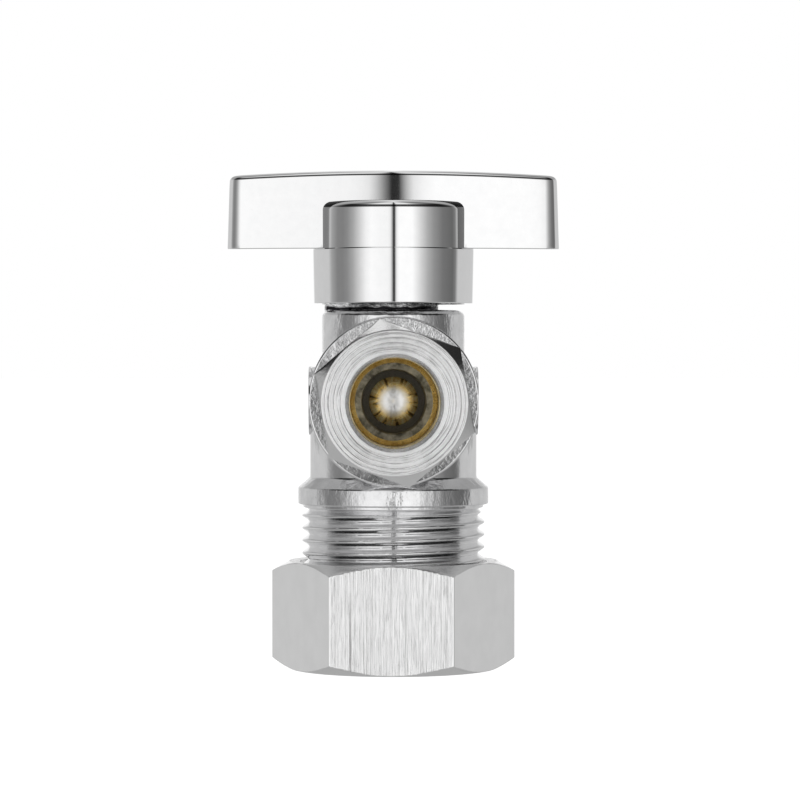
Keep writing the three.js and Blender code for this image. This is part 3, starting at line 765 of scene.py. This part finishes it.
def stop_rib():
    """The solid sector inside the skirt that meets the body's lug."""
    bm = bmesh.new()
    low_angle, high_angle = math.radians(194.7), math.radians(435.3)
    outline = []
    for k in range(49):
        a = low_angle + (high_angle - low_angle) * k / 48
        outline.append((8.4 * math.cos(a), 8.4 * math.sin(a)))
    for k in range(49):
        a = high_angle - (high_angle - low_angle) * k / 48
        outline.append((5.6 * math.cos(a), 5.6 * math.sin(a)))
    low = [bm.verts.new((x * MM, y * MM, 41.85 * MM)) for x, y in outline]
    high = [bm.verts.new((x * MM, y * MM, 46.05 * MM)) for x, y in outline]
    n = len(outline)
    for i in range(n // 2 - 1):
        j, far, near = i + 1, n - 1 - i, n - 2 - i
        bm.faces.new((low[i], low[j], low[near], low[far]))
        bm.faces.new((high[far], high[near], high[j], high[i]))
    for i in range(n):
        j = (i + 1) % n
        bm.faces.new((low[i], low[j], high[j], high[i]))
    bmesh.ops.recalc_face_normals(bm, faces=bm.faces[:])
    return object_of(bm, "rib")


def handle():
    hub, cavity = hub_and_cavity()
    combine(hub, "UNION", wing())
    combine(hub, "DIFFERENCE", cavity)
    combine(hub, "UNION", stop_rib())
    recess_profile = rounded([(0, 52.25), (3.9, 52.25, 0.2), (3.9, 55.4, 0.0), (4.6, 56.6), (0, 56.6)])
    recess = lathe("recess", recess_profile, even(96))
    hole = lathe("hole", [(0, 49.5), (2.1, 49.5), (2.1, 53), (0, 53)], even(48))
    socket = block("socket", (-2.32, -2.32, 44.4), (2.32, 2.32, 50.95))
    combine(hub, "DIFFERENCE", recess, hole, socket)
    return smooth(hub)


hand_over(handle(), HANDLE_CHROME, "handle_and_stem", "chrome_plated_zinc", "handle")


def handle_screw():
    head = lathe("handle_screw_head", rounded([
        (0, 45.85),
        (1.1, 45.85),
        (1.5, 46.35, 0.1),
        (1.5, 52.85, 0.1),
        (3.1, 52.85, 0.15),
        (3.1, 53.65, 0.35),
        (2.2, 54.35, 0.9),
        (0.9, 54.53, 0.4),
        (0, 54.55),
    ]), even(64))
    for low, high in (((-1.7, -0.4, 53.45), (1.7, 0.4, 55.2)), ((-0.4, -1.7, 53.45), (0.4, 1.7, 55.2))):
        combine(head, "DIFFERENCE", block("slot", low, high))
    return smooth(head)


def lock_washer():
    ring = lathe("lock_washer_ring", rounded([
        (1.9, 52.3, 0.08),
        (3.1, 52.3, 0.08),
        (3.1, 52.8, 0.08),
        (1.9, 52.8, 0.08),
    ]), even(64), closed=True)
    cut = block("cut", (1.6, -0.2, 51.25), (3.6, 0.2, 53.75))
    cut.data.transform(Matrix.Rotation(0.6, 4, "Z"))
    return smooth(combine(ring, "DIFFERENCE", cut))


hand_over(handle_screw(), STEEL, "handle_and_stem", "steel", "handle_screw")
hand_over(lock_washer(), STEEL, "handle_and_stem", "steel", "lock_washer")

# ------------------------------------------------------------------ nuts and sleeves

INLET_TURN = math.radians(-1.5)
OUTLET_TURN = math.radians(10)
THREAD_ROOM = 0.25  # between a nut's thread and the body's
RELIEF = 0.12  # how much wider than the thread the bore is at both its ends


def nut(name, flats, turn, face, low, high, hole, thread, hole_end, matrix=None):
    """A compression nut from its outer face at low to its open end at high; the bore's thread faces up."""
    root = thread["root"] + THREAD_ROOM
    outer = root + thread["depth"] + RELIEF
    inside = rounded([
        (outer, high, 0.05),
        (outer - 0.15, high - 0.5, 0.1),
        (root, high - 0.75),
    ])[1:]
    top = high - 0.8
    bottom = low + hole_end + 2.4
    rows = thread_rows(root, thread["depth"], thread["pitch"], thread["start"], bottom, top, 0.6, 0.6, 12)
    inside += reversed(rows)
    inside += rounded([
        (root, bottom - 0.05),
        (outer, low + hole_end + 2.0, 0.1),
        (outer, low + hole_end + 1.2, 0.1),
        (hole + 1.0, low + hole_end + 1.2, 0.1),
        (hole, low + hole_end, 0.15),
        (hole, low + 0.42, 0.12),
        (hole + 0.42, low),
    ])
    profile = rounded([(face - 0.3, low), (face - 0.12, low)])
    profile += hexagon(flats, turn, face, low + 0.02, high - 0.02)
    profile += [(face - 0.12, high), (face - 0.3, high)] + inside
    obj = lathe(name, profile, hex_angles(turn), closed=True, matrix=matrix)
    return smooth(obj, 28)


inlet = nut("inlet_nut_hexagon", 23.81, INLET_TURN, 11.8, 0.0, 12.15, 8.09, INLET_THREAD, 2.05)
hand_over(inlet, INLET_NUT_CHROME, "inlet_nut_turning", "chrome_plated_nut", "inlet_nut")


def outlet_nut():
    # Built with its outer face up: heights run away from the body, so the profile is mirrored.
    low, high = 10.9, 22.0
    thread = OUTLET_THREAD
    root = thread["root"] + THREAD_ROOM
    outer = root + thread["depth"] + RELIEF
    hole, hole_end = 4.865, 1.6
    bore = rounded([(hole + 0.42, high), (hole, high - 0.42, 0.1), (hole, high - hole_end, 0.15)])
    bore += rounded([
        (hole, high - hole_end - 0.01),
        (hole + 1.0, high - hole_end - 1.2, 0.1),
        (outer, high - hole_end - 1.2, 0.1),
        (outer, high - hole_end - 2.0, 0.1),
        (root, high - hole_end - 2.35),
    ])
    top = high - hole_end - 2.4
    rows = thread_rows(root, thread["depth"], thread["pitch"], thread["start"], low + 0.8, top, 0.6, 0.6, 12)
    bore += reversed(rows)
    bore += rounded([(root, low + 0.75), (outer - 0.15, low + 0.5, 0.1), (outer, low)])
    turn = math.pi / 6 + OUTLET_TURN
    outside = hexagon(15.88, turn, 7.8, low + 0.02, high - 0.02)
    rings = []
    for r in (7.45, 7.0, 6.45, 5.75):
        rings += [(r + 0.09, high), (r, high - 0.06), (r - 0.05, high)]
    profile = bore + [(7.5, low), (7.68, low)] + outside + [(7.68, high)] + rings
    obj = lathe("outlet_nut_hexagon", profile, hex_angles(turn), closed=True, matrix=TO_OUTLET)
    return smooth(obj, 28)


hand_over(outlet_nut(), OUTLET_NUT_CHROME, "outlet_nut_turning", "chrome_plated_nut", "outlet_nut")


def sleeve(name, tube, wall, bottom, length, matrix=None):
    inner = tube / 2 + 0.03
    outer = inner + wall
    bevel = wall * 0.7
    return smooth(lathe(name, rounded([
        (inner, bottom, 0.05),
        (outer - bevel, bottom, 0.08),
        (outer, bottom + 1.2, 0.25),
        (outer, bottom + length - 1.8, 0.25),
        (outer - bevel, bottom + length, 0.08),
        (inner, bottom + length, 0.05),
    ]), even(128), closed=True, matrix=matrix))


inlet_sleeve = sleeve("inlet_sleeve_ring", 15.88, 0.95, 2.35, 6.0)
hand_over(inlet_sleeve, BRASS, "inlet_sleeve_on_pipe", "bare_brass", "inlet_sleeve")
outlet_sleeve = sleeve("outlet_sleeve_ring", 9.53, 0.85, 16.55, 3.5, TO_OUTLET)
hand_over(outlet_sleeve, BRASS, "outlet_sleeve_on_tube", "bare_brass", "outlet_sleeve")

# ------------------------------------------------------------------ ball and seats


BALL_RADIUS = 5.4
BALL_PORT = 2.9  # radius of its two ways


def ball():
    turns = [math.pi * k / 64 for k in range(65)]
    points = [(BALL_RADIUS * math.sin(a), AXIS_Z - BALL_RADIUS * math.cos(a)) for a in turns]
    points[0] = (0, AXIS_Z - BALL_RADIUS)
    points[-1] = (0, AXIS_Z + BALL_RADIUS)
    obj = lathe("ball_sphere", points, even(96))
    down = lathe("down", [(0, 22), (BALL_PORT, 22), (BALL_PORT, AXIS_Z), (0, AXIS_Z)], even(64))
    to_side = Matrix.Translation((0, 0, AXIS_Z * MM)) @ Matrix.Rotation(math.radians(-90), 4, "Y")
    side = lathe("side", [(0, 0), (BALL_PORT, 0), (BALL_PORT, 8), (0, 8)], even(64), matrix=to_side)
    slot = block("slot", (-8, -1.15, 33.85), (8, 1.15, 38))
    combine(obj, "DIFFERENCE", down, side, slot)
    return smooth(obj)


def seat(name, floor, matrix):
    face = floor - 0.8
    return smooth(lathe(name, rounded([
        (2.72, 4.85, 0.05),
        (3.4, 4.35, 0.08),
        (4.3, 4.35, 0.08),
        (4.3, face, 0.1),
        (3.55, face, 0.1),
        (3.45, 5.45, 0.1),
        (2.78, 5.2, 0.05),
    ]), even(96), closed=True, matrix=matrix))


def lower_seat():
    return smooth(lathe("lower_seat_ring", rounded([
        (3.0, 23.95, 0.1),
        (5.9, 23.95, 0.1),
        (5.9, 25.65, 0.08),
        (4.2, 25.65, 0.05),
        (4.2, 26.55, 0.05),
        (3.0, 25.45, 0.08),
    ]), even(96), closed=True))


def retainer():
    return smooth(lathe("retainer_bush", rounded([
        (3.8, 17.35, 0.15),
        (5.6, 17.35, 0.1),
        (6.0, 17.75, 0.1),
        (6.0, 20.2, 0.05),
        (5.1, 20.2, 0.05),
        (5.1, 21.5, 0.05),
        (6.0, 21.5, 0.05),
        (6.0, 22.75, 0.05),
        (3.8, 22.75, 0.1),
    ]), even(96), closed=True))


hand_over(ball(), BALL_CHROME, "handle_and_stem", "chrome_plated_ball", "ball")
hand_over(seat("outlet_seat_ring", 8.1, TO_OUTLET), PLASTIC, "valve", "ptfe", "outlet_seat")
hand_over(seat("rear_seat_ring", 7.6, TO_REAR), PLASTIC, "valve", "ptfe", "rear_seat")
hand_over(lower_seat(), PLASTIC, "valve", "ptfe", "lower_ball_seat")
hand_over(retainer(), BRASS, "valve", "bare_brass", "seat_retainer")

# Pieces that no view reaches keep their own solids.
CARRIED = {
    "stem": BRASS,
    "stem_o_ring_lower": RUBBER,
    "stem_o_ring_upper": RUBBER,
    "thrust_washer": PLASTIC,
    "outlet_seat_o_ring": RUBBER,
    "rear_seat_o_ring": RUBBER,
    "lower_seat_o_ring": RUBBER,
    "retainer_o_ring": RUBBER,
}
for name, look in CARRIED.items():
    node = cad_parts[name]
    node.data.materials.clear()
    node.data.materials.append(look)

# ------------------------------------------------------------------ floor and light


def studio():
    """A light tent: white panels beside the camera, a dark gap between them, grey sides, pale behind."""
    world = bpy.data.worlds.new("studio")
    bpy.context.scene.world = world
    world.use_nodes = True
    nodes = Nodes(world.node_tree)
    ray = nodes.add("ShaderNodeTexCoord").outputs["Generated"]
    x, y, z = nodes.add("ShaderNodeSeparateXYZ", {0: ray}).outputs
    turn = nodes.math("ARCTAN2", x, nodes.math("MULTIPLY", y, -1.0))  # 0 to the front, positive to the right
    turn = nodes.spread(turn, -math.pi, math.pi)
    lift = nodes.math("ARCSINE", z)

    def at(degrees):
        return (degrees + 180) / 360

    walls = [
        (-180, 1.0), (-166, 0.88), (-158, 0.58), (-106, 0.56), (-99, 0.34), (-88, 0.22), (-78, 0.21),
        (-70, 0.25), (-60, 0.38), (-50, 0.62), (-40, 0.88),
        (-32, 0.98), (-8, 0.92), (-4.5, 0.84), (-2.5, 0.5), (-1, 0.16),
        (0, 0.02), (1.6, 0.03), (3, 0.5), (4.5, 0.85), (8, 1.0), (27, 1.0), (40, 0.65), (50, 0.42),
        (60, 0.28), (75, 0.17), (94, 0.13), (100, 0.2), (106, 0.55), (160, 0.57), (168, 0.88), (180, 1.0),
    ]
    around = nodes.ramp(turn, [(at(degrees), value) for degrees, value in walls])
    ahead = nodes.ramp(turn, [(at(-110), 0.0), (at(-85), 1.0), (at(85), 1.0), (at(110), 0.0)])
    over = nodes.ramp(nodes.spread(lift, -math.pi, math.pi), [
        (at(0), 1.0),
        (at(18), 1.0),
        (at(23), 0.06),
        (at(49), 0.06),
        (at(56), 0.85),
        (at(90), 0.7),
    ])
    behind_stops = [(at(12), 1.0), (at(26), 0.6), (at(80), 0.75)]
    behind = nodes.ramp(nodes.spread(lift, -math.pi, math.pi), behind_stops)
    ceiling = nodes.mix(ahead, behind, over)
    tent = nodes.mix(1.0, around, ceiling)
    tent.node.blend_type = "MULTIPLY"
    below = nodes.spread(lift, math.radians(-12), math.radians(-30))
    tent = nodes.mix(below, tent, (0.4, 0.4, 0.4))
    seen = nodes.add("ShaderNodeLightPath").outputs["Is Camera Ray"]
    strength = nodes.spread(seen, 0, 1, 1.07, 1.0)
    colour = nodes.mix(seen, tent, (1, 1, 1))
    background = nodes.add("ShaderNodeBackground", {"Color": colour, "Strength": strength})
    output = nodes.add("ShaderNodeOutputWorld")
    world.node_tree.links.new(background.outputs[0], output.inputs["Surface"])


def floor():
    """The table, pale enough to run into the backdrop; the metal shows the tent instead of it."""
    bm = bmesh.new()
    bmesh.ops.create_grid(bm, x_segments=1, y_segments=1, size=6)
    for v in bm.verts:
        v.co.z = -0.2 * MM
    obj = object_of(bm, "floor")
    made = bpy.data.materials.new("pale_floor")
    made.use_nodes = True
    shader = made.node_tree.nodes["Principled BSDF"]
    shader.inputs["Base Color"].default_value = (0.5, 0.5, 0.5, 1)
    shader.inputs["Roughness"].default_value = 1.0
    shader.inputs["Emission Color"].default_value = (1, 1, 1, 1)
    shader.inputs["Emission Strength"].default_value = 0.95
    # From below the table isn't there, so that the valve's underside can be looked at.
    tree = made.node_tree
    clear = tree.nodes.new("ShaderNodeBsdfTransparent")
    either = tree.nodes.new("ShaderNodeMixShader")
    tree.links.new(tree.nodes.new("ShaderNodeNewGeometry").outputs["Backfacing"], either.inputs[0])
    tree.links.new(shader.outputs[0], either.inputs[1])
    tree.links.new(clear.outputs[0], either.inputs[2])
    tree.links.new(either.outputs[0], tree.nodes["Material Output"].inputs["Surface"])
    obj.data.materials.append(made)
    obj.visible_glossy = False


studio()
floor()
bpy.context.scene.view_settings.view_transform = "Standard"

bpy.context.view_layer.update()
